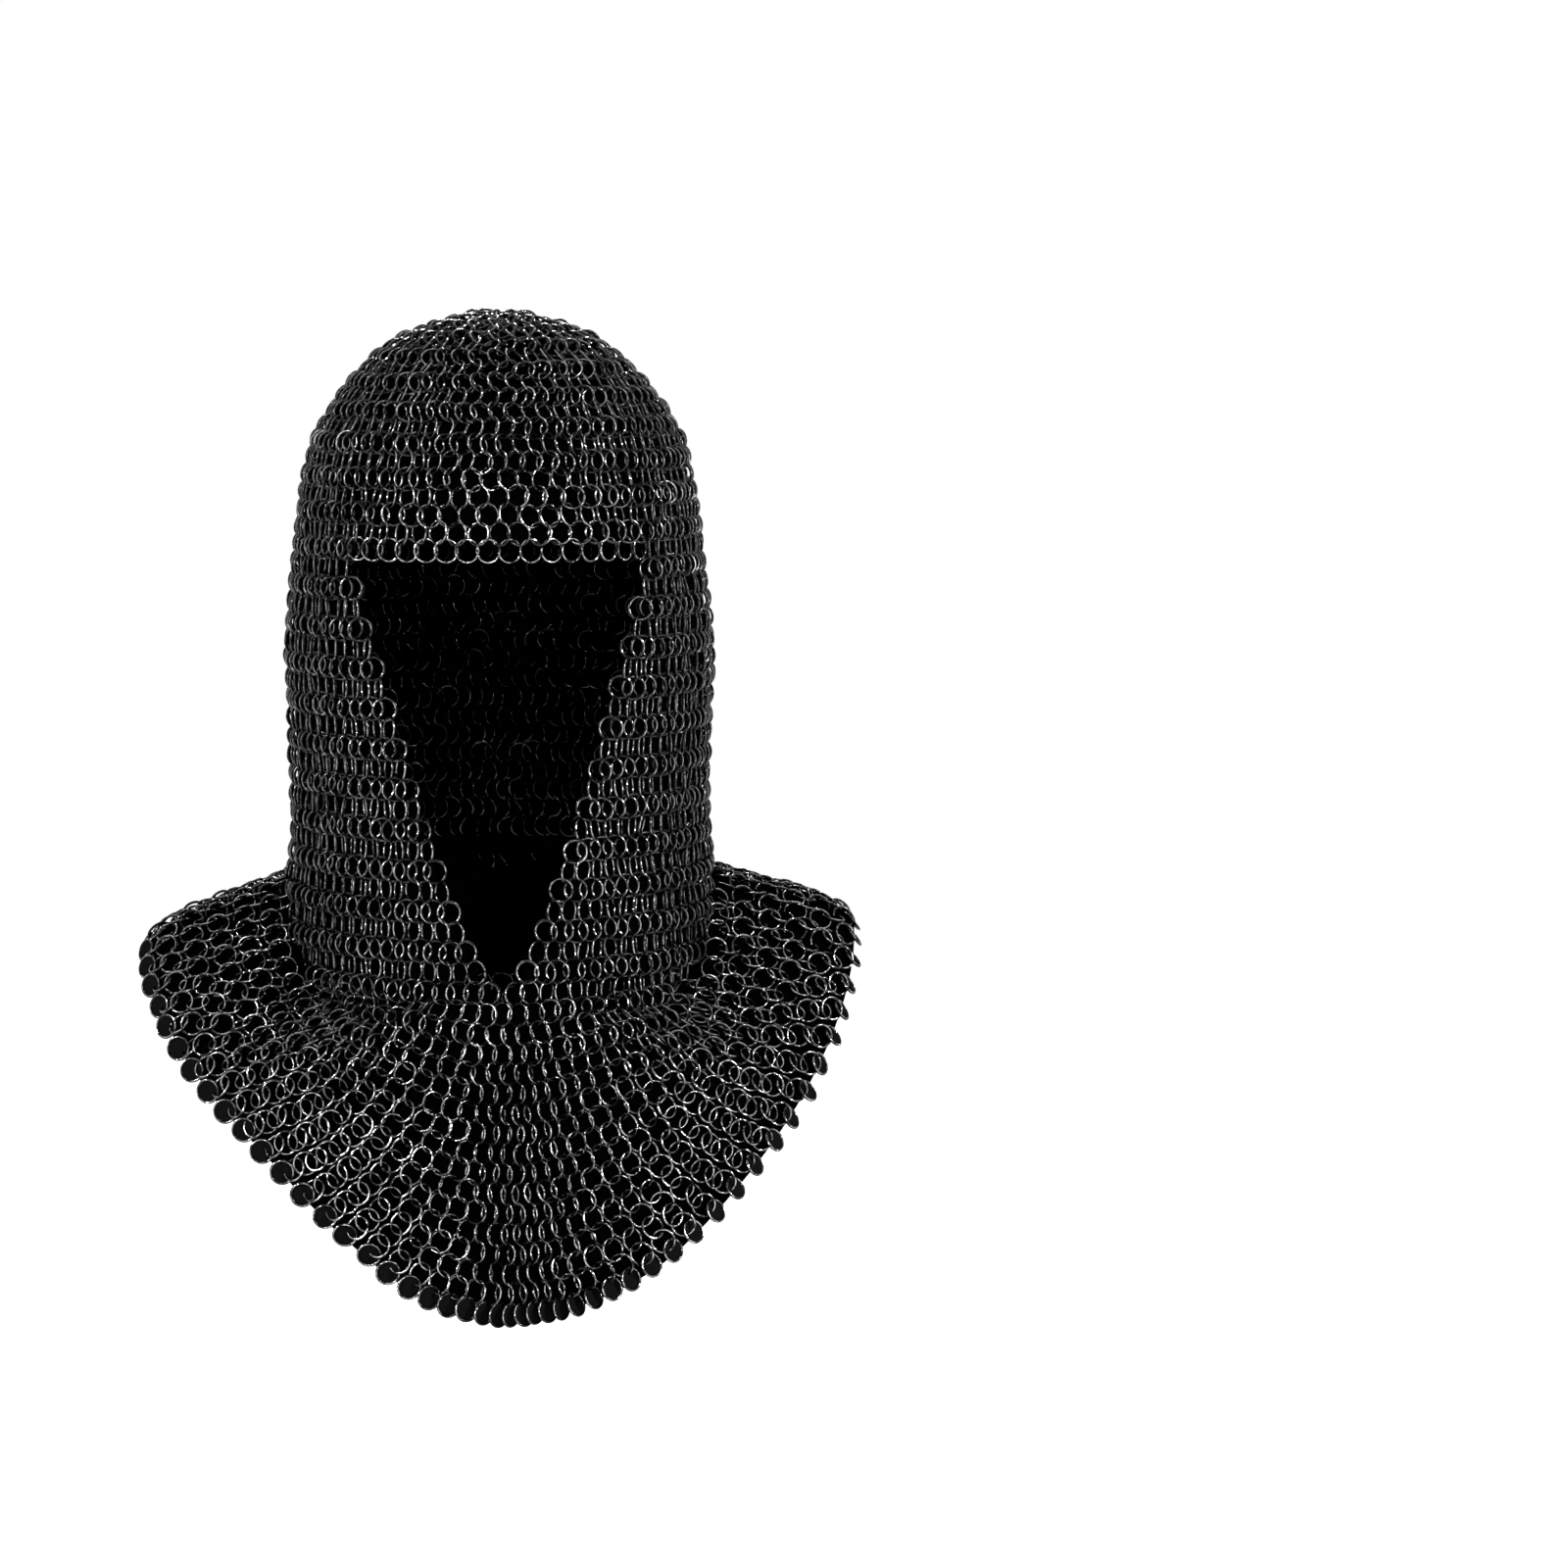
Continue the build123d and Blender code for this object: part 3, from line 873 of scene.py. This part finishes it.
def build_stand():
    black = plain("shade_sheet_black", SHADE_SHEET_BLACK)
    hood_levels = np.linspace(SHADE_SHEET_POLE_LEVEL, HOOD_LEVELS + SHADE_SHEET_EXTRA_LEVELS, SHADE_SHEET_HOOD_ROWS)
    mantle_ways = np.linspace(0.0, SHADE_SHEET_HEM_WAY, SHADE_SHEET_MANTLE_ROWS)
    # Two sheets of painted shade: one in the hood, one in the mantle
    for number, (shape, alongs) in enumerate([(hood, hood_levels), (mantle, mantle_ways)], start=1):
        name = f"stand_{number}"
        add_stand(name, sheet(name, stand_grid(shape, alongs)), black)

    # Painted shade: dark grey discs that fill the hem's rings, standing in for the shade seen
    # through them
    centre, free, facing, _, _ = hem_rings
    side = np.cross(facing, free)
    angle = np.linspace(0, 2 * math.pi, DISC_SIDES, endpoint=False)
    rim = centre[:, None] + RING_RADIUS * (
        np.cos(angle)[None, :, None] * free[:, None] + np.sin(angle)[None, :, None] * side[:, None]
    )
    faces = np.arange(rim.shape[0] * DISC_SIDES).reshape(-1, DISC_SIDES)
    mesh = bpy.data.meshes.new("hem_shade_discs")
    mesh.from_pydata((rim.reshape(-1, 3) * MM).tolist(), [], faces.tolist())
    add_stand("hem_shade_discs", mesh, plain("hem_shade_grey", HEM_SHADE_GREY))


build_stand()


def aimed(place, aim):
    """The rotation of a lamp or camera at a place that looks at a point."""
    return (Vector(aim) - Vector(place)).to_track_quat("-Z", "Y").to_euler()


def add_lamp(name, place, width, height, watts):
    """A soft box."""
    data = bpy.data.lights.new(name, "AREA")
    data.shape = "RECTANGLE"
    data.size = width
    data.size_y = height
    data.energy = watts
    lamp = new_object(name, data)
    lamp.location = place
    lamp.rotation_euler = aimed(place, LAMP_AIM)


for settings in LAMPS:
    add_lamp(*settings)

# Surroundings: white to the camera and in reflections, and otherwise the light of a dim
# room that is paler behind the coif
world = bpy.data.worlds.new("studio")
bpy.context.scene.world = world
world.use_nodes = True
tree = world.node_tree
tree.nodes.clear()
way = new_node(tree, "ShaderNodeTexCoord", -900, 0)
apart = new_node(tree, "ShaderNodeSeparateXYZ", -700, 0)
tree.links.new(way.outputs["Generated"], apart.inputs[0])
fade = ranged(
    tree, -500, 0, apart.outputs["Y"],
    From_Min=ROOM_START, From_Max=ROOM_END, To_Min=0.0, To_Max=ROOM_STRENGTH,
)
soft = new_node(tree, "ShaderNodeBackground", 0, 100, Color=ROOM_COLOUR)
white = new_node(tree, "ShaderNodeBackground", 0, -100, Color=(1, 1, 1, 1), Strength=1.0)
mix = new_node(tree, "ShaderNodeMixShader", 300, 0)
world_out = new_node(tree, "ShaderNodeOutputWorld", 500, 0)
tree.links.new(fade, soft.inputs["Strength"])
tree.links.new(seen_or_mirrored(tree, -700, 300), mix.inputs[0])
tree.links.new(soft.outputs[0], mix.inputs[1])
tree.links.new(white.outputs[0], mix.inputs[2])
tree.links.new(mix.outputs[0], world_out.inputs[0])

# The camera
camera_data = bpy.data.cameras.new("camera")
camera_data.sensor_width = SENSOR
camera_data.lens = SENSOR * CAMERA_DISTANCE / (PIXEL * MM * PHOTO_WIDTH)
camera = new_object("camera", camera_data)
rise = math.radians(CAMERA_RISE)
camera.location = (
    0, -CAMERA_DISTANCE * math.cos(rise), AIM.z + CAMERA_DISTANCE * math.sin(rise),
)
camera.rotation_euler = aimed(camera.location, AIM)
bpy.context.scene.camera = camera
bpy.context.scene.view_settings.view_transform = "Standard"
